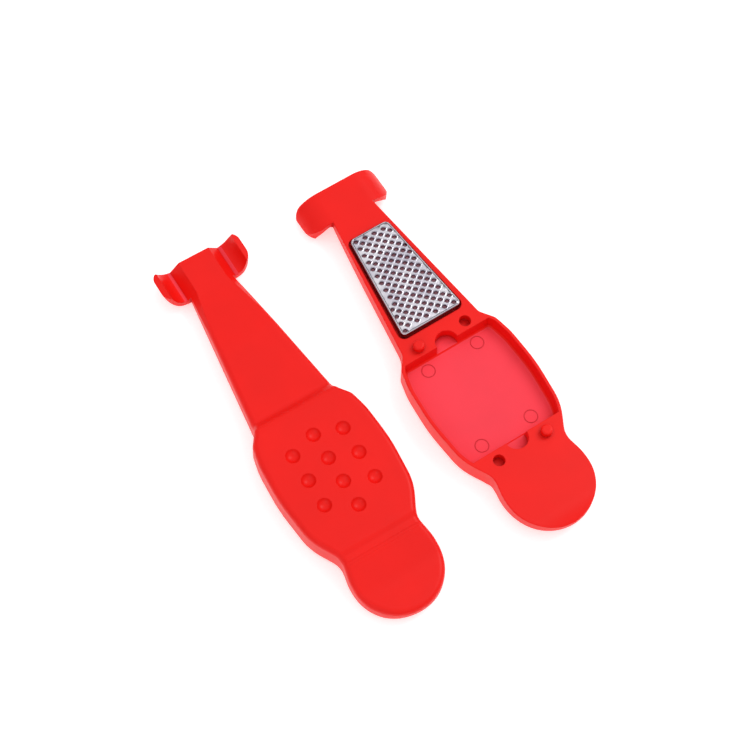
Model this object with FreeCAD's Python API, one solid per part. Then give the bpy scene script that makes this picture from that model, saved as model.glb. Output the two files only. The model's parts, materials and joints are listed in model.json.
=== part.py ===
import FreeCAD, Part
import math
import os

# A two-piece tyre lever and patch case, in millimetres.
# A half is drawn in its lever frame: X across, Y from the tail tip to the head, and Z out of the
# mating face, which lies at Z = 0 with the body below it. The back half lies on its outer face.
# The front half is the same moulding turned over, resting on its pegs beside the back half.

# Overall sizes of one half
LEVER_LENGTH = 134.0
TAIL_HALF_WIDTH = 14.5
TAIL_LENGTH = 24.1
WAIST_HALF_WIDTH = 13.05
OVAL_HALF_WIDTH = 19.4
SHOULDER_HALF_WIDTH = 14.2
NECK_HALF_WIDTH = 7.5

# Corners of the outline: insets from the oval's half width, leads along the lever, and radii
TAIL_SIDE_LEAD = 6.8
TAIL_SIDE_RADIUS = 18.0
WAIST_RADIUS = 7.0
OVAL_TAIL_INSET = 1.2
OVAL_TAIL_LEAD = 2.3
OVAL_TAIL_RADIUS = 20.0
OVAL_BULGE = 0.25
OVAL_BULGE_LEAD = 1.0
OVAL_SIDE_RADIUS = 60.0
OVAL_STEM_INSET = 0.5
OVAL_STEM_LEAD = 7.2
OVAL_STEM_RADIUS = 25.0
SHOULDER_INSET = 1.9
SHOULDER_LEAD = 1.0
SHOULDER_RADIUS = 4.0
STEM_FOOT_LEAD = 3.45
STEM_FOOT_RADIUS = 3.0

# Thicknesses, from the mating face to the outer face
TAIL_THICKNESS = 5.2
TAIL_BAND_THICKNESS = 8.2
OVAL_THICKNESS = 9.0
STEM_THICKNESS = 7.0
HEAD_THICKNESS = 5.6
TAIL_TIP_DROP = 1.9
TAIL_TIP_WALL = 3.0

# Lengths of the slopes between those thicknesses
TAIL_TIP_RUN = 6.0
TAIL_FLAT_RUN = 4.8
TAIL_BAND_RUN = 2.5
TAIL_RAMP_RUN = 1.8
STEM_RAMP_LEAD = 2.9
STEM_RAMP_RUN = 2.4
HEAD_TAPER_RUN = 20.0
HEAD_TAPER_GAP = 1.9
EDGE_RADIUS = 1.8
RIM_RADIUS = 0.3
CREASE_RADIUS = 2.0
TAIL_TIP_CREASE_RADIUS = 12.0
SOFT_CREASE_RADIUS = 16.0

# Patch compartment in the mating face, with a half-round notch at each end
CASE_LENGTH = 37.5
CASE_DEPTH = 4.5
CASE_RIM = 1.05
CASE_DRAFT = 0.5
CASE_FLOOR_RADIUS = 1.2
CASE_END_WALL = 7.1
NOTCH_RADIUS = 3.8
NOTCH_DEPTH = 4.0

# Pegs and holes that clip the halves together, on the lands beside the compartment
PEG_OFFSET = 8.63
PEG_RADIUS = 1.82
PEG_HEIGHT = 2.4
PEG_TIP_RADIUS = 0.7
PEG_FIT = 0.06
PEG_END_CLEARANCE = 0.6
TAIL_PEG_SETBACK = 3.4
STEM_PEG_SETBACK = 2.95

# Hook head: a central block between two wings that curl towards the outer face
HEAD_LENGTH = 11.7
WING_SPAN = 30.5
WING_CURL_RADIUS = 9.0
WING_CURL_ANGLE = 72.0
WING_THICKNESS = 2.0
WING_ROOT_CORNER = 4.8
WING_TIP_CORNER = 2.8
HEAD_EDGE_RADIUS = 0.5
BLOCK_HALF_WIDTH = 5.4
BLOCK_SLOPE_RUN = 3.2
BLOCK_BLEND_LENGTH = 26.0

# Shallow groove across the outer face of the tail
GROOVE_RADIUS = 1.2
GROOVE_DEPTH = 0.25

# Thumb dimples in the outer face of the oval
DIMPLE_RADIUS = 2.3
DIMPLE_DEPTH = 1.4
DIMPLE_COLUMN = 8.8
CENTRE_DIMPLES = 4
CENTRE_DIMPLE_PITCH = 8.6
SIDE_DIMPLES = 3
SIDE_DIMPLE_PITCH = 9.05
DIMPLE_SETBACK = 1.4
SIDE_DIMPLE_LEAD = 1.15

# Fine rings left by the ejector pins
EJECTOR_DEPTH = 0.15
EJECTOR_LINE = 0.3
CASE_EJECTOR_RADIUS = 2.1
CASE_EJECTOR_OFFSET = 9.1
CASE_EJECTOR_TAIL_MARGIN = 4.5
CASE_EJECTOR_STEM_MARGIN = 3.7

# Rasp: a pierced sheet-metal tray on a foam pad, in a tapered pocket of the stem
RASP_SETBACK = 8.2
RASP_LENGTH = 36.7
RASP_WIDE = 22.3
RASP_NARROW = 14.0
RASP_CORNER = 1.7
RASP_SHEET = 0.4
RASP_BEND_RADIUS = 0.35
RASP_PROUD = 1.3
POCKET_DEPTH = 2.0
POCKET_GAP = 0.65
POCKET_SHIFT = 0.2
TOOTH_PITCH_ACROSS = 3.3
TOOTH_PITCH_ALONG = 1.36
TOOTH_MARGIN = 1.4
TOOTH_BASE_RADIUS = 0.8
TOOTH_TIP_RADIUS = 0.5
TOOTH_HEIGHT = 0.35
TOOTH_HOLE_RADIUS = 0.3
PAD_CLEARANCE = 0.3

# How the two halves lie side by side
PAIR_SPACING = 51.85
PAIR_SHIFT = 2.25
FRONT_TURN = -1.05

# Stations along the lever
CASE_START = TAIL_LENGTH + CASE_END_WALL
CASE_END = CASE_START + CASE_LENGTH
CASE_MIDDLE = (CASE_START + CASE_END) / 2
STEM_RAMP_START = CASE_END + STEM_RAMP_LEAD
STEM_START = STEM_RAMP_START + STEM_RAMP_RUN
HEAD_START = LEVER_LENGTH - HEAD_LENGTH
HEAD_TAPER_END = HEAD_START - HEAD_TAPER_GAP
RASP_START = CASE_END + RASP_SETBACK
CUT_CLEAR = 1.0


def at(x, y, z=0.0):
    return FreeCAD.Vector(x, y, z)


AHEAD = at(0, 1)
UP = at(0, 0, 1)


def rounded_wire(corners):
    # Closed wire through (position, radius) corners, with an arc where the radius isn't zero
    stretches = []
    for index, (here, radius) in enumerate(corners):
        back = corners[index - 1][0].sub(here).normalize()
        ahead = corners[(index + 1) % len(corners)][0].sub(here).normalize()
        half_angle = back.getAngle(ahead) / 2
        reach = radius / math.tan(half_angle)
        inward = back.add(ahead).normalize() * (radius / math.sin(half_angle) - radius)
        stretches.append((here.add(back * reach), here.add(inward), here.add(ahead * reach)))
    edges = []
    for index, (start, middle, end) in enumerate(stretches):
        if corners[index][1] > 0:
            edges.append(Part.Arc(start, middle, end).toShape())
        following = stretches[(index + 1) % len(stretches)][0]
        if end.distanceToPoint(following) > 1e-6:
            edges.append(Part.LineSegment(end, following).toShape())
    return Part.Wire(edges)


def prism(wire, direction):
    return Part.Face(wire).extrude(direction)


def mirrored_wire(right_side):
    # Closed wire from the (half width, y, radius) corners of its right side
    right = [(at(half, y), radius) for half, y, radius in right_side]
    left = [(at(-half, y), radius) for half, y, radius in reversed(right_side)]
    return rounded_wire(right + left)


def plan_wire():
    # The outline without the wings: round tail, waist, oval, shoulder and tapering stem
    return mirrored_wire([
        (TAIL_HALF_WIDTH, 0, TAIL_HALF_WIDTH),
        (TAIL_HALF_WIDTH, TAIL_LENGTH - TAIL_SIDE_LEAD, TAIL_SIDE_RADIUS),
        (WAIST_HALF_WIDTH, TAIL_LENGTH, WAIST_RADIUS),
        (OVAL_HALF_WIDTH - OVAL_TAIL_INSET, CASE_START + OVAL_TAIL_LEAD, OVAL_TAIL_RADIUS),
        (OVAL_HALF_WIDTH + OVAL_BULGE, CASE_MIDDLE - OVAL_BULGE_LEAD, OVAL_SIDE_RADIUS),
        (OVAL_HALF_WIDTH - OVAL_STEM_INSET, CASE_END - OVAL_STEM_LEAD, OVAL_STEM_RADIUS),
        (OVAL_HALF_WIDTH - SHOULDER_INSET, CASE_END - SHOULDER_LEAD, SHOULDER_RADIUS),
        (SHOULDER_HALF_WIDTH, CASE_END + STEM_FOOT_LEAD, STEM_FOOT_RADIUS),
        (NECK_HALF_WIDTH, HEAD_START, 0),
    ])


def side_prism():
    # The side profile, wide enough to cross the whole plan
    half = 2 * OVAL_HALF_WIDTH
    profile = [
        (-CUT_CLEAR, -TAIL_TIP_DROP * (1 + CUT_CLEAR / TAIL_TIP_RUN), 0),
        (TAIL_TIP_RUN / 2, 0, TAIL_TIP_CREASE_RADIUS),
        (HEAD_START, 0, 0),
        (HEAD_START, -HEAD_THICKNESS, 0),
        (HEAD_TAPER_END, -HEAD_THICKNESS, SOFT_CREASE_RADIUS),
        (HEAD_TAPER_END - HEAD_TAPER_RUN, -STEM_THICKNESS, SOFT_CREASE_RADIUS),
        (STEM_START, -STEM_THICKNESS, CREASE_RADIUS),
        (STEM_RAMP_START, -OVAL_THICKNESS, CREASE_RADIUS),
        (TAIL_LENGTH + TAIL_RAMP_RUN, -OVAL_THICKNESS, CREASE_RADIUS),
        (TAIL_LENGTH, -TAIL_BAND_THICKNESS, CREASE_RADIUS),
        (TAIL_LENGTH - TAIL_BAND_RUN, -TAIL_BAND_THICKNESS, CREASE_RADIUS),
        (TAIL_TIP_RUN + TAIL_FLAT_RUN, -TAIL_THICKNESS, SOFT_CREASE_RADIUS),
        (TAIL_TIP_RUN, -TAIL_THICKNESS, CREASE_RADIUS),
        (-CUT_CLEAR, -TAIL_TIP_DROP - TAIL_TIP_WALL, 0),
    ]
    return prism(rounded_wire([(at(-half, y, z), radius) for y, z, radius in profile]), at(2 * half, 0))


def is_rim(edge):
    # An edge between a face and a flank is neither upright nor straight across
    box = edge.BoundBox
    upright = box.XLength < 0.01 and box.YLength < 0.01
    across = box.YLength < 0.01 and box.ZLength < 0.01
    return not upright and not across


def is_outer(edge):
    middle = edge.valueAt((edge.FirstParameter + edge.LastParameter) / 2)
    return middle.z < -TAIL_TIP_DROP - TAIL_TIP_WALL / 2


def rounded_body():
    # Broad rounding round the outer face and a fine one round the mating face
    blank = prism(plan_wire(), UP * (-2 * OVAL_THICKNESS)).common(side_prism()).Solids[0]
    body = blank.makeFillet(EDGE_RADIUS, [edge for edge in blank.Edges if is_rim(edge) and is_outer(edge)])
    mating = [edge for edge in body.Edges if is_rim(edge) and edge.BoundBox.ZMax > -TAIL_TIP_DROP
              and not is_outer(edge)]
    return body.makeFillet(RIM_RADIUS, mating)


def arc_point(flat_half, radius, degrees):
    # A point on a wing's curl, measured from where the flat middle of the head ends
    turn = math.radians(degrees)
    return at(flat_half + radius * math.sin(turn), HEAD_START, radius * math.cos(turn) - WING_CURL_RADIUS)


def block_corners():
    # Where the block's sloping side meets the wing, and its corner on the outer side
    flat_half = WING_SPAN / 2 - WING_CURL_RADIUS * math.sin(math.radians(WING_CURL_ANGLE))
    outer = WING_CURL_RADIUS - WING_THICKNESS
    foot_angle = math.degrees(math.asin((BLOCK_HALF_WIDTH + BLOCK_SLOPE_RUN - flat_half) / outer))
    foot = arc_point(flat_half, outer, foot_angle)
    return foot, at(BLOCK_HALF_WIDTH, HEAD_START, -HEAD_THICKNESS), flat_half, foot_angle


def head_section():
    # Section across the head: flat middle, wings curling down, and the block on the outer side
    foot, block, flat_half, foot_angle = block_corners()
    inner = WING_CURL_RADIUS
    outer = WING_CURL_RADIUS - WING_THICKNESS
    flat_end = arc_point(flat_half, inner, 0)
    inner_tip = arc_point(flat_half, inner, WING_CURL_ANGLE)
    outer_tip = arc_point(flat_half, outer, WING_CURL_ANGLE)
    right = [
        Part.Arc(flat_end, arc_point(flat_half, inner, WING_CURL_ANGLE / 2), inner_tip).toShape(),
        Part.LineSegment(inner_tip, outer_tip).toShape(),
        Part.Arc(outer_tip, arc_point(flat_half, outer, (WING_CURL_ANGLE + foot_angle) / 2), foot).toShape(),
        Part.LineSegment(foot, block).toShape(),
    ]
    left = [edge.mirror(at(0, 0), at(1, 0)) for edge in right]
    bottom = Part.LineSegment(block, at(-block.x, block.y, block.z)).toShape()
    top = Part.LineSegment(at(-flat_end.x, flat_end.y, flat_end.z), flat_end).toShape()
    return Part.Wire(Part.__sortEdges__(right + left + [bottom, top]))


def head_solid():
    wings = prism(head_section(), AHEAD * HEAD_LENGTH)
    plan = mirrored_wire([
        (WING_SPAN / 2, HEAD_START, WING_ROOT_CORNER),
        (WING_SPAN / 2, LEVER_LENGTH, WING_TIP_CORNER),
    ])
    plan.translate(UP * CUT_CLEAR)
    head = wings.common(prism(plan, UP * (-2 * OVAL_THICKNESS))).Solids[0]
    front = [edge for edge in head.Edges if edge.BoundBox.YMin > LEVER_LENGTH - 0.01]
    return head.makeFillet(HEAD_EDGE_RADIUS, front)


def block_facets():
    # Wedges that slim the outer side of the stem into the sloping sides of the head's block
    foot, block, flat_half, foot_angle = block_corners()
    start_y = HEAD_START - BLOCK_BLEND_LENGTH
    widening = (SHOULDER_HALF_WIDTH - NECK_HALF_WIDTH) / (HEAD_START - CASE_END - STEM_FOOT_LEAD)
    start = at(NECK_HALF_WIDTH + widening * BLOCK_BLEND_LENGTH, start_y, -STEM_THICKNESS)
    along = start.sub(block)
    slope = foot.sub(block)
    slope_reach = 2 * OVAL_THICKNESS / slope.Length
    corner = block.sub(along).sub(slope * slope_reach)
    wire = Part.makePolygon([
        corner,
        corner.add(along * 3),
        corner.add(along * 3).add(slope * (2 * slope_reach)),
        corner.add(slope * (2 * slope_reach)),
        corner,
    ])
    outward = along.cross(slope).normalize() * (2 * WING_SPAN)
    if outward.x < 0:
        outward = -outward
    corner_box = at(-2 * WING_SPAN, start_y - BLOCK_BLEND_LENGTH, -2 * OVAL_THICKNESS)
    limit = Part.makeBox(4 * WING_SPAN, 3 * BLOCK_BLEND_LENGTH, 2 * OVAL_THICKNESS, corner_box)
    wedge = prism(wire, outward).common(limit)
    return [wedge, wedge.mirror(at(0, 0), at(1, 0))]


def case_cavity():
    # The compartment follows the outline inside its rim, with straight ends and drafted walls
    inner = Part.Face(plan_wire().makeOffset2D(-CASE_RIM))
    strip = Part.makePlane(4 * OVAL_HALF_WIDTH, CASE_LENGTH, at(-2 * OVAL_HALF_WIDTH, CASE_START))
    mouth = inner.common(strip).Faces[0].OuterWire
    floor = mouth.makeOffset2D(-CASE_DRAFT)
    floor.translate(at(0, 0, -CASE_DEPTH))
    cavity = Part.makeLoft([mouth, floor], True, True)
    rims = [edge for edge in cavity.Edges if edge.BoundBox.ZMax < -CASE_DEPTH + 0.01]
    return cavity.makeFillet(CASE_FLOOR_RADIUS, rims)


def disc(radius, x, y, z, height):
    return Part.makeCylinder(radius, height, at(x, y, z), UP)


def peg_places():
    # The peg and the hole swap sides between the two lands, so two equal halves fit face to face
    tail_y = CASE_START - TAIL_PEG_SETBACK
    stem_y = CASE_END + STEM_PEG_SETBACK
    pegs = [(PEG_OFFSET, tail_y), (-PEG_OFFSET, stem_y)]
    holes = [(-PEG_OFFSET, tail_y), (PEG_OFFSET, stem_y)]
    return pegs, holes


def rasp_outline(grow):
    # The tray's tapered outline, grown on every side
    slope = (RASP_WIDE - RASP_NARROW) / 2 / RASP_LENGTH
    lean = math.hypot(1, slope) * grow
    wide = RASP_WIDE / 2 + lean + slope * grow
    narrow = RASP_NARROW / 2 + lean - slope * grow
    radius = RASP_CORNER + grow
    return mirrored_wire([
        (wide, RASP_START - grow, radius),
        (narrow, RASP_START + RASP_LENGTH + grow, radius),
    ])


def pocket_cavity():
    # The pocket lies slightly off the tray's centre, towards the tail and one side
    outline = rasp_outline(POCKET_GAP)
    outline.translate(at(-POCKET_SHIFT, -POCKET_SHIFT, CUT_CLEAR))
    return prism(outline, UP * (-POCKET_DEPTH - CUT_CLEAR))


def dimple_places():
    centre_run = CENTRE_DIMPLE_PITCH * (CENTRE_DIMPLES - 1)
    centre_start = CASE_MIDDLE - DIMPLE_SETBACK - centre_run / 2
    side_run = SIDE_DIMPLE_PITCH * (SIDE_DIMPLES - 1)
    side_start = CASE_MIDDLE - DIMPLE_SETBACK + SIDE_DIMPLE_LEAD - side_run / 2
    places = [(0, centre_start + CENTRE_DIMPLE_PITCH * step) for step in range(CENTRE_DIMPLES)]
    for x in (-DIMPLE_COLUMN, DIMPLE_COLUMN):
        places += [(x, side_start + SIDE_DIMPLE_PITCH * step) for step in range(SIDE_DIMPLES)]
    return places


def dimple_cuts():
    ball_radius = (DIMPLE_RADIUS ** 2 + DIMPLE_DEPTH ** 2) / (2 * DIMPLE_DEPTH)
    centre_z = -OVAL_THICKNESS + DIMPLE_DEPTH - ball_radius
    return [Part.makeSphere(ball_radius, at(x, y, centre_z)) for x, y in dimple_places()]


def groove_cut():
    # Along the foot of the level band, across the outer face of the tail
    y = TAIL_LENGTH - TAIL_BAND_RUN
    centre = at(-2 * OVAL_HALF_WIDTH, y, -TAIL_BAND_THICKNESS - GROOVE_RADIUS + GROOVE_DEPTH)
    return Part.makeCylinder(GROOVE_RADIUS, 4 * OVAL_HALF_WIDTH, centre, at(1, 0))


def ejector_ring(radius, x, y, surface):
    outer = disc(radius + EJECTOR_LINE / 2, x, y, surface - EJECTOR_DEPTH, CUT_CLEAR)
    return outer.cut(disc(radius - EJECTOR_LINE / 2, x, y, surface - CUT_CLEAR, 3 * CUT_CLEAR))


def ejector_cuts():
    rings = []
    for x in (-CASE_EJECTOR_OFFSET, CASE_EJECTOR_OFFSET):
        for y in (CASE_START + CASE_EJECTOR_TAIL_MARGIN, CASE_END - CASE_EJECTOR_STEM_MARGIN):
            rings.append(ejector_ring(CASE_EJECTOR_RADIUS, x, y, -CASE_DEPTH))
    return rings


def lever():
    # One half in its lever frame, with its mating face up
    pegs, holes = peg_places()
    body = rounded_body().cut(block_facets()).fuse(head_solid()).removeSplitter()
    hole_depth = PEG_HEIGHT + PEG_END_CLEARANCE
    cuts = [case_cavity(), pocket_cavity(), groove_cut()]
    cuts += [disc(NOTCH_RADIUS, 0, y, -NOTCH_DEPTH, NOTCH_DEPTH + CUT_CLEAR) for y in (CASE_START, CASE_END)]
    cuts += [disc(PEG_RADIUS + PEG_FIT, x, y, -hole_depth, hole_depth + CUT_CLEAR) for x, y in holes]
    cuts += dimple_cuts() + ejector_cuts()
    body = body.cut(cuts)
    for x, y in pegs:
        peg = disc(PEG_RADIUS, x, y, -CUT_CLEAR, PEG_HEIGHT + CUT_CLEAR)
        tips = [edge for edge in peg.Edges if edge.BoundBox.ZMin > PEG_HEIGHT / 2]
        body = body.fuse(peg.makeFillet(PEG_TIP_RADIUS, tips))
    return body.removeSplitter().Solids[0]


def tooth_places():
    # A diamond lattice that fills the tray's top inside its plain border
    places = []
    rows = int((RASP_LENGTH - 2 * TOOTH_MARGIN) / TOOTH_PITCH_ALONG) + 1
    first = RASP_START + (RASP_LENGTH - TOOTH_PITCH_ALONG * (rows - 1)) / 2
    for row in range(rows):
        y = first + TOOTH_PITCH_ALONG * row
        share = (y - RASP_START) / RASP_LENGTH
        limit = (RASP_WIDE + (RASP_NARROW - RASP_WIDE) * share) / 2 - TOOTH_MARGIN
        offset = TOOTH_PITCH_ACROSS / 2 * (row % 2)
        count = int((limit - offset) / TOOTH_PITCH_ACROSS)
        columns = range(-count, count + 1) if offset == 0 else range(-count - 1, count + 1)
        places += [(offset + TOOTH_PITCH_ACROSS * column, y) for column in columns]
    return places


def rasp_plate():
    # Tray with its top at RASP_PROUD above the mating face and its skirt on the pocket floor
    outer = rasp_outline(0)
    outer.translate(UP * -POCKET_DEPTH)
    height = POCKET_DEPTH + RASP_PROUD
    shell = prism(outer, UP * height)
    rims = [edge for edge in shell.Edges if edge.BoundBox.ZMin > 0]
    shell = shell.makeFillet(RASP_BEND_RADIUS, rims)
    inner = rasp_outline(-RASP_SHEET)
    inner.translate(UP * (-POCKET_DEPTH - CUT_CLEAR))
    tray = shell.cut(prism(inner, UP * (height - RASP_SHEET + CUT_CLEAR)))
    tooth = Part.makeCone(TOOTH_BASE_RADIUS, TOOTH_TIP_RADIUS, TOOTH_HEIGHT + RASP_SHEET / 2)
    teeth = []
    holes = []
    for x, y in tooth_places():
        teeth.append(tooth.translated(at(x, y, RASP_PROUD - RASP_SHEET / 2)))
        holes.append(disc(TOOTH_HOLE_RADIUS, x, y, RASP_PROUD - RASP_SHEET - CUT_CLEAR, 3 * CUT_CLEAR))
    return tray.fuse(teeth).cut(holes).Solids[0]


def rasp_pad():
    outline = rasp_outline(-RASP_SHEET - PAD_CLEARANCE)
    outline.translate(UP * -POCKET_DEPTH)
    return prism(outline, UP * (POCKET_DEPTH + RASP_PROUD - RASP_SHEET))


def placed_pair():
    # Both halves with their pieces on the floor, centred on the origin
    half = lever()
    back_shift = at(PAIR_SPACING / 2, -LEVER_LENGTH / 2, OVAL_THICKNESS)
    pieces = {
        "back_lever": half.translated(back_shift),
        "rasp_plate": rasp_plate().translated(back_shift),
        "rasp_pad": rasp_pad().translated(back_shift),
    }
    front = half.translated(at(0, -LEVER_LENGTH / 2))
    front.rotate(at(0, 0), AHEAD, 180)
    front.rotate(at(0, 0), UP, FRONT_TURN)
    front.translate(at(-PAIR_SPACING / 2, PAIR_SHIFT, PEG_HEIGHT))
    pieces["front_lever"] = front
    box = Part.makeCompound(list(pieces.values())).optimalBoundingBox()
    centring = at(-box.Center.x, -box.Center.y)
    return {node: shape.translated(centring) for node, shape in pieces.items()}


os.makedirs("parts", exist_ok=True)
for node, shape in placed_pair().items():
    shape.exportStep(f"parts/{node}.step")
    print(node, shape.isValid(), round(shape.Volume, 1), len(shape.Solids), len(shape.Faces))
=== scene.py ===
import json
import math
import random

import bmesh
import bpy
from mathutils import Matrix, Vector


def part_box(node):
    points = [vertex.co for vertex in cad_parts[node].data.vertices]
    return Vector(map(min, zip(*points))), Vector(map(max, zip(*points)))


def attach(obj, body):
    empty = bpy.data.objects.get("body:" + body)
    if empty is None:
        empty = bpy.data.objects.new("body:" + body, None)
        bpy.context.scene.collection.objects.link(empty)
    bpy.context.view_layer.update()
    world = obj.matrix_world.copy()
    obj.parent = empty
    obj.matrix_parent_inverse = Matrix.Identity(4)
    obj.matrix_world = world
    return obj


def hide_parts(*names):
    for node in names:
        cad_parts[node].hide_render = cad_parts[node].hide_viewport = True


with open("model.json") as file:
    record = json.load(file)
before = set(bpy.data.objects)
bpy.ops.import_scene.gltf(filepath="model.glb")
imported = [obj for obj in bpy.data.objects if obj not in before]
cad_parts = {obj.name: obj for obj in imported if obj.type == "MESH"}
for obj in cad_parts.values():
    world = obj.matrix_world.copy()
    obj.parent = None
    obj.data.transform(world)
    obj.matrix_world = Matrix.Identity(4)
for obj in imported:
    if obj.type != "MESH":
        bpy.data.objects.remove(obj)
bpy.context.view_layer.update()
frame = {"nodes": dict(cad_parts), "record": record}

mm = 0.001
scene = bpy.context.scene
random.seed(7)


def hexToLinear(code):
    # sRGB hex to the linear colour that the shaders work in
    channels = [int(code[i:i + 2], 16) / 255 for i in (1, 3, 5)]
    linear = [c / 12.92 if c <= 0.04045 else ((c + 0.055) / 1.055) ** 2.4 for c in channels]
    return (*linear, 1.0)


def addNode(tree, kind, settings=None, inputs=None, links=None):
    # One shader node with its settings, its input values and its incoming links
    node = tree.nodes.new(kind)
    for name, value in (settings or {}).items():
        setattr(node, name, value)
    for name, value in (inputs or {}).items():
        node.inputs[name].default_value = value
    for name, source in (links or {}).items():
        tree.links.new(source, node.inputs[name])
    return node


def startMaterial(name):
    material = bpy.data.materials.new(name)
    material.use_nodes = True
    material.node_tree.nodes.clear()
    return material, material.node_tree


def endMaterial(tree, shader):
    addNode(tree, "ShaderNodeOutputMaterial", links={"Surface": shader.outputs[0]})


def mouldedPlastic():
    # Injection-moulded polyamide in signal red: even and satin, with a fine spark-eroded grain.
    # The compartment floor is more coarsely eroded, so it is rougher, and its base colour is painted
    # paler as a painted sheen for the white light it scatters.
    settings = {
        "faceColour": "#f3130b", "faceRoughness": 0.4,
        "floorSheenColour": "#f8404f", "floorRoughness": 0.65,
        "ior": 1.53, "specular": 0.2,
        "grainSize": 0.3, "grainRoughness": 0.6, "grainHeight": 0.004, "grainStrength": 0.5,
        "cloudSize": 14.0, "cloudRoughness": 0.5, "cloudDepth": 0.06, "cloudLow": 0.3, "cloudHigh": 0.7,
        "noiseDetail": 2.0, "edgeRadius": 0.22, "edgeSamples": 6,
        "translucency": 0.06, "bleedRed": 1.2, "bleedGreen": 0.25, "bleedBlue": 0.2,
        # painted shade: the deeper red painted into recesses, how far it reaches and how closed a
        # recess must be
        "paintedShadeColour": "#c40404", "paintedShadeReach": 2.0, "paintedShadeSamples": 8,
        "paintedShadeShut": 0.3, "paintedShadeOpen": 0.9,
    }
    material, tree = startMaterial("mouldedRedPolyamide")
    place = addNode(tree, "ShaderNodeTexCoord").outputs["Object"]
    grain = addNode(tree, "ShaderNodeTexNoise", inputs={
        "Scale": 1 / (settings["grainSize"] * mm), "Detail": settings["noiseDetail"],
        "Roughness": settings["grainRoughness"]}, links={"Vector": place})
    cloud = addNode(tree, "ShaderNodeTexNoise", inputs={
        "Scale": 1 / (settings["cloudSize"] * mm), "Detail": settings["noiseDetail"],
        "Roughness": settings["cloudRoughness"]}, links={"Vector": place})
    cloudRange = addNode(tree, "ShaderNodeMapRange", inputs={
        "From Min": settings["cloudLow"], "From Max": settings["cloudHigh"],
        "To Min": 1 - settings["cloudDepth"], "To Max": 1.0},
        links={"Value": cloud.outputs["Fac"]})
    floorMask = compartmentFloor(tree, place)
    # the floor's paler colour is a painted sheen; its higher roughness below is the real finish
    colour = addNode(tree, "ShaderNodeMix", {"data_type": "RGBA"}, inputs={
        "A": hexToLinear(settings["faceColour"]), "B": hexToLinear(settings["floorSheenColour"])},
        links={"Factor": floorMask})
    tint = addNode(tree, "ShaderNodeHueSaturation", links={
        "Color": colour.outputs["Result"], "Value": cloudRange.outputs["Result"]})
    rough = addNode(tree, "ShaderNodeMapRange", inputs={
        "To Min": settings["faceRoughness"], "To Max": settings["floorRoughness"]},
        links={"Value": floorMask})
    # painted shade: an ambient-occlusion mask darkens the colour to a deeper red in recesses, creases
    # and gaps
    shelter = addNode(tree, "ShaderNodeAmbientOcclusion", {
        "samples": settings["paintedShadeSamples"], "only_local": True},
        inputs={"Distance": settings["paintedShadeReach"] * mm})
    openness = addNode(tree, "ShaderNodeMapRange", inputs={
        "From Min": settings["paintedShadeShut"], "From Max": settings["paintedShadeOpen"]},
        links={"Value": shelter.outputs["AO"]})
    paintedShadeMix = addNode(tree, "ShaderNodeMix", {"data_type": "RGBA"}, inputs={
        "A": hexToLinear(settings["paintedShadeColour"])},
        links={"Factor": openness.outputs["Result"], "B": tint.outputs["Color"]})
    softEdge = addNode(tree, "ShaderNodeBevel", {"samples": settings["edgeSamples"]}, inputs={
        "Radius": settings["edgeRadius"] * mm})
    bump = addNode(tree, "ShaderNodeBump", inputs={
        "Strength": settings["grainStrength"], "Distance": settings["grainHeight"] * mm},
        links={"Height": grain.outputs["Fac"], "Normal": softEdge.outputs["Normal"]})
    bleed = tuple(settings[name] * mm for name in ("bleedRed", "bleedGreen", "bleedBlue"))
    shader = addNode(tree, "ShaderNodeBsdfPrincipled", inputs={
        "IOR": settings["ior"], "Specular IOR Level": settings["specular"],
        "Subsurface Weight": settings["translucency"], "Subsurface Radius": bleed,
        "Subsurface Scale": 1.0,
    }, links={"Base Color": paintedShadeMix.outputs["Result"], "Roughness": rough.outputs["Result"],
              "Normal": bump.outputs["Normal"]})
    endMaterial(tree, shader)
    return material


def compartmentFloor(tree, place):
    # 1 on upward faces no higher than the back half's compartment floor, and 0 elsewhere.
    # A narrow strip low on each wing of the front half is that low too, so it counts as well.
    settings = {"above": 0.5, "facingUp": 0.9}
    opening = next(o for o in frame["record"]["physics"]["openings"] if o["name"] == "back_case")
    floorLine = opening["box_m"][0][2] + settings["above"] * mm
    split = addNode(tree, "ShaderNodeSeparateXYZ", links={"Vector": place})
    under = addNode(tree, "ShaderNodeMath", {"operation": "LESS_THAN"}, inputs={1: floorLine},
                    links={0: split.outputs["Z"]})
    normal = addNode(tree, "ShaderNodeSeparateXYZ", links={
        "Vector": addNode(tree, "ShaderNodeNewGeometry").outputs["Normal"]})
    upward = addNode(tree, "ShaderNodeMath", {"operation": "GREATER_THAN"},
                     inputs={1: settings["facingUp"]}, links={0: normal.outputs["Z"]})
    both = addNode(tree, "ShaderNodeMath", {"operation": "MULTIPLY"}, links={
        0: under.outputs[0], 1: upward.outputs[0]})
    return both.outputs[0]


raspSettings = {
    "narrowWidth": 14.0, "corner": 1.7, "cornerFit": 0.9, "cornerSegments": 8,
    "bend": 0.45, "bendSegments": 4, "sheet": 0.15, "proudOfSheet": 0.35,
    "pitchAcross": 3.3, "pitchAlong": 1.36, "skew": -3.5, "spareTiles": 3,
    "edgeLand": 0.6, "pitLand": 1.05,
    "toothSides": 16, "alongShare": 0.76, "tear": 0.06, "tornAbove": 0.08,
    "tolerance": 0.01, "sharpAngle": 60,
}
# radius across and height above the sheet of each ring of a tooth, from its foot down to its hole
toothRings = [(1.1, 0.0), (1.0, 0.16), (0.9, 0.24), (0.78, 0.06), (0.66, -0.2), (0.52, -0.5)]


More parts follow.
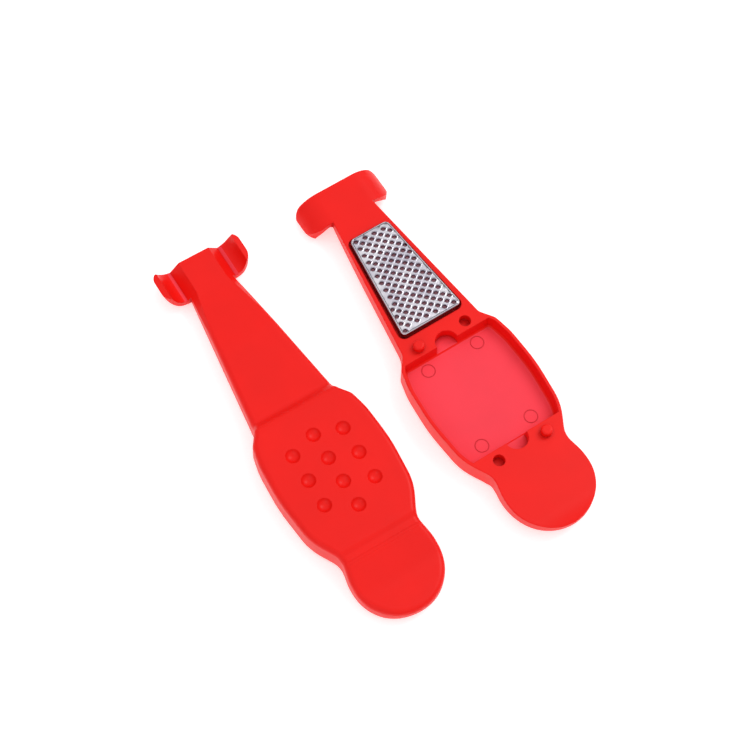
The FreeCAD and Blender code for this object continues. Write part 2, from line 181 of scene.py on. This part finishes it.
def stampedSteel():
    # Bright nickel-plated steel sheet: mirror-like and slightly clouded, with painted shade and a
    # painted reflection of the red plastic in mauve down in the pits
    settings = {
        "colour": "#e6e3ea", "cloudColour": "#c4c0cc", "pitShadeColour": "#8a6872",
        "roughness": 0.2, "smoother": 0.05, "duller": 0.1,
        "scratchSize": 0.6, "scratchStretch": 0.12, "scratchTurn": 0.5,
        "scratchStrength": 0.25, "scratchDepth": 0.01, "noiseDetail": 3.0,
        "cloudSize": 9.0, "dullLow": 0.3, "dullHigh": 0.7, "tintLow": 0.4, "tintHigh": 0.65,
        "pitTop": 0.0, "pitBottom": 0.3,
    }
    low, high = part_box("rasp_plate")
    material, tree = startMaterial("stampedNickelSteel")
    place = addNode(tree, "ShaderNodeTexCoord").outputs["Object"]
    stretched = addNode(tree, "ShaderNodeMapping", inputs={
        "Scale": (1.0, settings["scratchStretch"], 1.0), "Rotation": (0, 0, settings["scratchTurn"])},
        links={"Vector": place})
    scratches = addNode(tree, "ShaderNodeTexNoise", inputs={
        "Scale": 1 / (settings["scratchSize"] * mm), "Detail": settings["noiseDetail"]},
        links={"Vector": stretched.outputs["Vector"]})
    clouds = addNode(tree, "ShaderNodeTexNoise", inputs={
        "Scale": 1 / (settings["cloudSize"] * mm), "Detail": settings["noiseDetail"]},
        links={"Vector": place})
    rough = addNode(tree, "ShaderNodeMapRange", inputs={
        "From Min": settings["dullLow"], "From Max": settings["dullHigh"],
        "To Min": settings["roughness"] - settings["smoother"],
        "To Max": settings["roughness"] + settings["duller"]}, links={"Value": clouds.outputs["Fac"]})
    # painted shade and painted reflection: the colour turns mauve with depth below the sheet top, down
    # in the pits
    split = addNode(tree, "ShaderNodeSeparateXYZ", links={"Vector": place})
    sheetTop = high.z - raspSettings["proudOfSheet"] * mm
    pit = addNode(tree, "ShaderNodeMapRange", inputs={
        "From Min": sheetTop - settings["pitBottom"] * mm,
        "From Max": sheetTop - settings["pitTop"] * mm}, links={"Value": split.outputs["Z"]})
    cloudFactor = addNode(tree, "ShaderNodeMapRange", inputs={
        "From Min": settings["tintLow"], "From Max": settings["tintHigh"]},
        links={"Value": clouds.outputs["Fac"]})
    sheet = addNode(tree, "ShaderNodeMix", {"data_type": "RGBA"}, inputs={
        "A": hexToLinear(settings["colour"]), "B": hexToLinear(settings["cloudColour"])},
        links={"Factor": cloudFactor.outputs["Result"]})
    colour = addNode(tree, "ShaderNodeMix", {"data_type": "RGBA"}, inputs={
        "A": hexToLinear(settings["pitShadeColour"])},
        links={"Factor": pit.outputs["Result"], "B": sheet.outputs["Result"]})
    bump = addNode(tree, "ShaderNodeBump", inputs={
        "Strength": settings["scratchStrength"], "Distance": settings["scratchDepth"] * mm},
        links={"Height": scratches.outputs["Fac"]})
    shader = addNode(tree, "ShaderNodeBsdfPrincipled", inputs={"Metallic": 1.0}, links={
        "Base Color": colour.outputs["Result"], "Roughness": rough.outputs["Result"],
        "Normal": bump.outputs["Normal"]})
    endMaterial(tree, shader)
    return material


def foamTape():
    # Dusky closed-cell bonding foam: matt and finely pocked, seen only through the pierced teeth
    settings = {
        "cellColour": "#6a4048", "wallColour": "#8c5c66", "cellSize": 0.5,
        "bumpStrength": 0.6, "bumpDepth": 0.1, "roughness": 0.9, "ior": 1.5,
    }
    material, tree = startMaterial("bondingFoam")
    place = addNode(tree, "ShaderNodeTexCoord").outputs["Object"]
    cells = addNode(tree, "ShaderNodeTexVoronoi", inputs={"Scale": 1 / (settings["cellSize"] * mm)},
                    links={"Vector": place})
    ramp = addNode(tree, "ShaderNodeMix", {"data_type": "RGBA"}, inputs={
        "A": hexToLinear(settings["cellColour"]), "B": hexToLinear(settings["wallColour"])},
        links={"Factor": cells.outputs["Distance"]})
    bump = addNode(tree, "ShaderNodeBump", inputs={
        "Strength": settings["bumpStrength"], "Distance": settings["bumpDepth"] * mm},
        links={"Height": cells.outputs["Distance"]})
    shader = addNode(tree, "ShaderNodeBsdfPrincipled", inputs={
        "Roughness": settings["roughness"], "IOR": settings["ior"]}, links={
        "Base Color": ramp.outputs["Result"], "Normal": bump.outputs["Normal"]})
    endMaterial(tree, shader)
    return material


def finishPiece(name, bm, material, body, replaced):
    # The finished mesh as an object that rides on its body and stands for its CAD node
    mesh = bpy.data.meshes.new(name)
    bm.to_mesh(mesh)
    bm.free()
    mesh.materials.append(material)
    piece = bpy.data.objects.new(name, mesh)
    scene.collection.objects.link(piece)
    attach(piece, body)
    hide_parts(replaced)
    return piece


def shadeSmooth(piece, sharpAngle):
    piece.data.shade_smooth()
    piece.data.set_sharp_from_angle(angle=math.radians(sharpAngle))


def toothTile(settings, pierced):
    # One diamond of sheet: a torn crown round a pierced pit, or plain sheet for the border
    across, along = settings["pitchAcross"] / 2, settings["pitchAlong"]
    sides = settings["toothSides"]
    corners = [Vector((across, 0)), Vector((0, along)), Vector((-across, 0)), Vector((0, -along))]
    bm = bmesh.new()
    rim = bmesh.ops.create_circle(bm, segments=sides, radius=1, cap_ends=False)["verts"]
    for v in rim:
        step = round(math.atan2(v.co.y, v.co.x) / (2 * math.pi) * sides) % sides
        quarter, share = step * 4 // sides, (step % (sides // 4)) / (sides // 4)
        spot = corners[quarter].lerp(corners[(quarter + 1) % 4], share)
        v.co = (spot.x, spot.y, 0)
    if not pierced:
        bmesh.ops.contextual_create(bm, geom=rim)
    edges = list(bm.edges)
    for radius, z in toothRings if pierced else []:
        new = bmesh.ops.extrude_edge_only(bm, edges=edges)["geom"]
        edges = [g for g in new if isinstance(g, bmesh.types.BMEdge)]
        for v in {v for e in edges for v in e.verts}:
            outward = Vector((v.co.x / across, v.co.y / along, 0)).normalized() * radius
            v.co = (outward.x, outward.y * settings["alongShare"], z)
    mesh = bpy.data.meshes.new("tile")
    bm.to_mesh(mesh)
    bm.free()
    return mesh


def makeField(settings, length, halfWidth, top):
    # The lattice of teeth, set slightly askew and trimmed to a narrow land inside the tray's edge
    crown, plain = toothTile(settings, True), toothTile(settings, False)
    turn = Matrix.Rotation(math.radians(settings["skew"]), 3, "Z")
    centre = Vector((0, length / 2, top))
    land = settings["pitLand"]
    rows = int(length / settings["pitchAlong"] / 2) + settings["spareTiles"]
    columns = int(halfWidth(0) / settings["pitchAcross"]) + settings["spareTiles"]
    field = bmesh.new()
    for row in range(-rows, rows + 1):
        for column in range(-columns, columns + 1):
            x = settings["pitchAcross"] * (column + 0.5 * (row % 2))
            spot = turn @ Vector((x, settings["pitchAlong"] * row, 0)) + centre
            inside = abs(spot.x) <= halfWidth(spot.y) - land and land <= spot.y <= length - land
            count = len(field.verts)
            field.from_mesh(crown if inside else plain)
            field.verts.ensure_lookup_table()
            fresh = field.verts[count:]
            for v in fresh:
                if v.co.z > settings["tornAbove"]:
                    v.co.z -= random.uniform(0, settings["tear"])
            bmesh.ops.rotate(field, verts=fresh, cent=(0, 0, 0), matrix=turn)
            bmesh.ops.translate(field, verts=fresh, vec=spot)
    bmesh.ops.remove_doubles(field, verts=field.verts, dist=1e-3)
    slope = (halfWidth(0) - halfWidth(length)) / length
    inset = settings["edgeLand"]
    planes = [
        ((0, inset, top), (0, -1, 0)),
        ((0, length - inset, top), (0, 1, 0)),
        ((halfWidth(0) - inset, 0, top), (1, slope, 0)),
        ((inset - halfWidth(0), 0, top), (-1, slope, 0)),
    ]
    for spot, facing in planes:
        geom = list(field.verts) + list(field.edges) + list(field.faces)
        bmesh.ops.bisect_plane(field, geom=geom, plane_co=spot, plane_no=facing, clear_outer=True)
    bmesh.ops.dissolve_degenerate(field, dist=1e-4, edges=field.edges)
    mesh = bpy.data.meshes.new("field")
    field.to_mesh(mesh)
    field.free()
    for tile in (crown, plain):
        bpy.data.meshes.remove(tile)
    return mesh


def onInset(edge, length, halfWidth, settings):
    # True for an edge on the straight lines where the field of teeth was trimmed
    spots = [v.co for v in edge.verts]
    inset, near = settings["edgeLand"], settings["tolerance"]
    atStart = all(abs(s.y - inset) < near for s in spots)
    atEnd = all(abs(s.y - length + inset) < near for s in spots)
    alongSide = all(abs(abs(s.x) - halfWidth(s.y) + inset) < near for s in spots)
    return atStart or atEnd or alongSide


def makeRasp(material):
    # The stamped tray: a field of pierced teeth, a plain edge land, a rolled edge and a skirt
    settings = raspSettings
    near = settings["tolerance"]
    low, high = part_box("rasp_plate")
    low, high = low / mm, high / mm
    centreX = (low.x + high.x) / 2
    wide, narrow = (high.x - low.x) / 2, settings["narrowWidth"] / 2
    length = high.y - low.y
    top = high.z - settings["proudOfSheet"]

    def halfWidth(y):
        return wide - (wide - narrow) * y / length

    # the tray's rolled edge and skirt, open above and below
    bm = bmesh.new()
    block = bmesh.ops.create_cube(bm, size=2)["verts"]
    for v in block:
        y = length if v.co.y > 0 else 0
        v.co = (math.copysign(halfWidth(y), v.co.x), y, top if v.co.z > 0 else low.z)
    upright = [e for e in bm.edges if abs(e.verts[0].co.z - e.verts[1].co.z) > near]
    bmesh.ops.bevel(bm, geom=upright, offset=settings["corner"] * settings["cornerFit"],
                    affect="EDGES", segments=settings["cornerSegments"], profile=0.5, material=-1)
    topFace = max(bm.faces, key=lambda f: f.calc_center_median().z)
    bmesh.ops.bevel(bm, geom=list(topFace.edges), offset=settings["bend"],
                    affect="EDGES", segments=settings["bendSegments"], profile=0.5, material=-1)
    flats = [f for f in bm.faces if abs(f.normal.z) > 1 - near]
    bmesh.ops.delete(bm, geom=flats, context="FACES_ONLY")

    # a flat land joins the field of teeth to the rolled edge
    fieldMesh = makeField(settings, length, halfWidth, top)
    shellEdges = len(bm.edges)
    bm.from_mesh(fieldMesh)
    bm.edges.ensure_lookup_table()
    fieldRim = [e for e in bm.edges[shellEdges:]
                if e.is_boundary and onInset(e, length, halfWidth, settings)]
    shellRim = [e for e in bm.edges[:shellEdges] if e.is_boundary and e.verts[0].co.z > top - near]
    bmesh.ops.triangle_fill(bm, edges=fieldRim + shellRim, use_beauty=True)
    bmesh.ops.recalc_face_normals(bm, faces=bm.faces)
    if sum(f.normal.z * f.calc_area() for f in bm.faces) < 0:  # an open tray may come out face down
        bmesh.ops.reverse_faces(bm, faces=bm.faces)
    for v in bm.verts:
        v.co = Vector(((v.co.x + centreX) * mm, (v.co.y + low.y) * mm, v.co.z * mm))
    bpy.data.meshes.remove(fieldMesh)
    piece = finishPiece("stampedRasp", bm, material, "back_half", "rasp_plate")
    solid = piece.modifiers.new("sheet", "SOLIDIFY")
    solid.thickness = settings["sheet"] * mm
    solid.offset = -1
    shadeSmooth(piece, settings["sharpAngle"])


def makePad(material):
    # Foam that bonds the tray into its pocket, with its edges rounded over
    settings = {"sideGap": 0.7, "edgeRadius": 0.5, "edgeSegments": 4, "sharpAngle": 40}
    low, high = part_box("rasp_pad")
    taper = (raspSettings["narrowWidth"] - 2 * settings["sideGap"]) * mm / (high.x - low.x)
    bm = bmesh.new()
    block = bmesh.ops.create_cube(bm, size=2)["verts"]
    for v in block:
        half = (high.x - low.x) / 2 * (taper if v.co.y > 0 else 1.0)
        x = (low.x + high.x) / 2 + math.copysign(half, v.co.x)
        v.co = (x, high.y if v.co.y > 0 else low.y, high.z if v.co.z > 0 else low.z)
    bmesh.ops.bevel(bm, geom=list(bm.edges), offset=settings["edgeRadius"] * mm, affect="EDGES",
                    segments=settings["edgeSegments"], profile=0.5, material=-1)
    piece = finishPiece("bondingPad", bm, material, "back_half", "rasp_pad")
    shadeSmooth(piece, settings["sharpAngle"])


def makeCamera():
    settings = {
        "azimuth": -37.9, "elevation": 66.2, "roll": 5.3, "distance": 600.0,
        "lens": 92.736, "sensor": 36.0, "farClip": 10000.0,
        "aimX": -22.4, "aimY": 74.4, "aimZ": -0.5,
    }
    # the aim is measured from the back half's tail tip, on its centre line
    low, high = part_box("back_lever")
    origin = Vector(((low.x + high.x) / 2, low.y, 0))
    aim = origin + Vector((settings["aimX"], settings["aimY"], settings["aimZ"])) * mm
    turns = (math.radians(settings[name]) for name in ("azimuth", "elevation", "roll"))
    azimuth, elevation, roll = turns
    back = Vector((math.sin(azimuth) * math.cos(elevation), -math.cos(azimuth) * math.cos(elevation),
                   math.sin(elevation)))
    right = Vector((math.cos(azimuth), math.sin(azimuth), 0))
    up = back.cross(right)
    turnedRight = right * math.cos(roll) + up * math.sin(roll)
    turnedUp = up * math.cos(roll) - right * math.sin(roll)
    data = bpy.data.cameras.new("camera")
    data.sensor_width = settings["sensor"]
    data.lens = settings["lens"]
    data.clip_end = settings["farClip"] * mm
    camera = bpy.data.objects.new("camera", data)
    scene.collection.objects.link(camera)
    axes = Matrix((turnedRight, turnedUp, back)).transposed()
    camera.rotation_mode = "QUATERNION"
    camera.rotation_quaternion = axes.to_quaternion()
    camera.location = aim + back * settings["distance"] * mm
    scene.camera = camera
    return aim


def makeFloor():
    # A plain pale floor that glows a little, as a lit sweep does
    settings = {
        "colour": "#f6f6f6", "glow": 0.45, "roughness": 0.9, "specular": 0.1, "halfSide": 3000.0,
    }
    bm = bmesh.new()
    bmesh.ops.create_grid(bm, x_segments=1, y_segments=1, size=settings["halfSide"] * mm)
    mesh = bpy.data.meshes.new("floor")
    bm.to_mesh(mesh)
    bm.free()
    material, tree = startMaterial("paleFloor")
    shader = addNode(tree, "ShaderNodeBsdfPrincipled", inputs={
        "Base Color": hexToLinear(settings["colour"]), "Roughness": settings["roughness"],
        "Specular IOR Level": settings["specular"], "Emission Color": (1, 1, 1, 1),
        "Emission Strength": settings["glow"]})
    endMaterial(tree, shader)
    mesh.materials.append(material)
    floor = bpy.data.objects.new("floor", mesh)
    scene.collection.objects.link(floor)


def makeLight(aim):
    # A sky that darkens towards the horizon, and two soft lamps
    settings = {
        "skyTop": 0.95, "skyHorizon": 0.3, "skyTopHeight": 0.85, "lampDistance": 1200.0,
        # azimuth and elevation in degrees, then the size in metres and the power in watts
        "lamps": {"key": (92, 50, 0.6, 4.2), "fill": (-60, 35, 0.8, 1.0)},
    }
    world = bpy.data.worlds.new("studio")
    world.use_nodes = True
    sky = world.node_tree
    direction = addNode(sky, "ShaderNodeTexCoord").outputs["Generated"]
    height = addNode(sky, "ShaderNodeSeparateXYZ", links={"Vector": direction}).outputs["Z"]
    level = addNode(sky, "ShaderNodeMapRange", inputs={
        "From Min": 0.0, "From Max": settings["skyTopHeight"],
        "To Min": settings["skyHorizon"], "To Max": settings["skyTop"]}, links={"Value": height})
    background = sky.nodes["Background"]
    sky.links.new(level.outputs["Result"], background.inputs["Strength"])
    background.inputs["Color"].default_value = (1, 1, 1, 1)
    scene.world = world
    for name, (azimuth, elevation, size, power) in settings["lamps"].items():
        a, e = math.radians(azimuth), math.radians(elevation)
        toward = Vector((math.sin(a) * math.cos(e), -math.cos(a) * math.cos(e), math.sin(e)))
        data = bpy.data.lights.new(name, "AREA")
        data.shape = "DISK"
        data.size = size
        data.energy = power
        lamp = bpy.data.objects.new(name, data)
        lamp.location = aim + toward * settings["lampDistance"] * mm
        lamp.rotation_mode = "QUATERNION"
        lamp.rotation_quaternion = toward.to_track_quat("Z", "Y")
        scene.collection.objects.link(lamp)
    scene.view_settings.view_transform = "Standard"


cameraAim = makeCamera()
makeFloor()
makeLight(cameraAim)
print("camera and studio are in place")

plastic = mouldedPlastic()
for node in ("back_lever", "front_lever"):
    part = frame["nodes"][node]
    part.data.materials.clear()
    part.data.materials.append(plastic)
print("levers have their moulded finish")

makeRasp(stampedSteel())
makePad(foamTape())
print("rasp and its pad are made")
